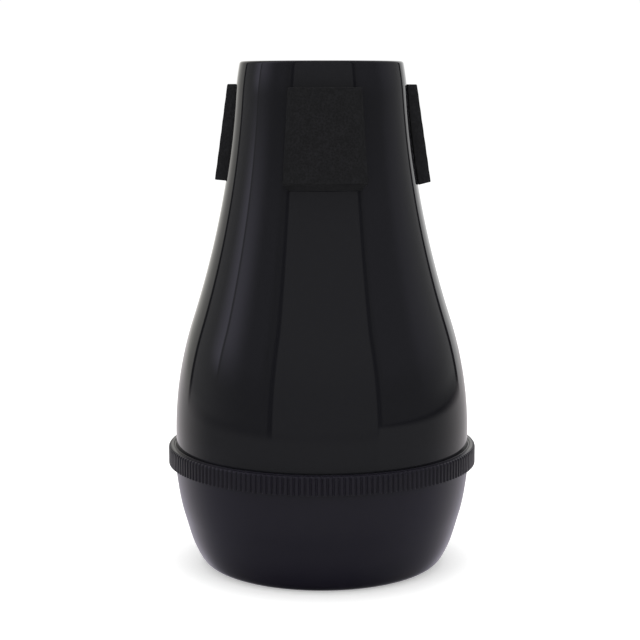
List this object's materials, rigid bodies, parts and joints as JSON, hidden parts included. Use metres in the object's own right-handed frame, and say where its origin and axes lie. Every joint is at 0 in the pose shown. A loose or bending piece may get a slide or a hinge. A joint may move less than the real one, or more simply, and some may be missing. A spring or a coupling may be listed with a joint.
{
  "type": "trombone straight mute",
  "caption": "Hollow straight mute for a trombone: a flared body with foam pads on its neck and a bowl-shaped end cap held on by a ribbed union ring.",
  "frame": {"origin": "centre of the flat underside of the end cap, on the axis of the body", "axes": "+Z along the body's axis from the end cap to the open end; the front pad faces -Y and +X is to the right of it"},
  "size_m": [0.1082, 0.1082, 0.1755],
  "materials": {
    "gloss_black_abs": "polished moulded black",
    "satin_black_abs": "satin moulded black",
    "moulded_black_nylon": "satin moulded black",
    "black_eva_foam": "matte closed-cell foam",
    "black_adhesive_film": "thin black adhesive film"
  },
  "bodies": {
    "shell": {"mute_body": "gloss_black_abs", "foam_pad_front": "black_eva_foam", "foam_pad_right": "black_eva_foam", "foam_pad_left": "black_eva_foam", "pad_film_front": "black_adhesive_film", "pad_film_right": "black_adhesive_film", "pad_film_left": "black_adhesive_film"},
    "cap": {"end_cap": "satin_black_abs"},
    "ring": {"lock_ring": "moulded_black_nylon"}
  },
  "joints": [
    {"name": "cap_travel", "type": "slide", "parent": "shell", "child": "cap", "axis": [0, 0, -1], "range_m": [0, 0.003]},
    {"name": "ring_turn", "type": "hinge", "parent": "cap", "child": "ring", "pos_m": [0, 0, 0.0363], "axis": [0, 0, -1], "range_deg": [0, 720]}
  ],
  "couplings": [
    {"joint": "cap_travel", "follows": "ring_turn", "m_per_rad": 0.00023873}
  ]
}
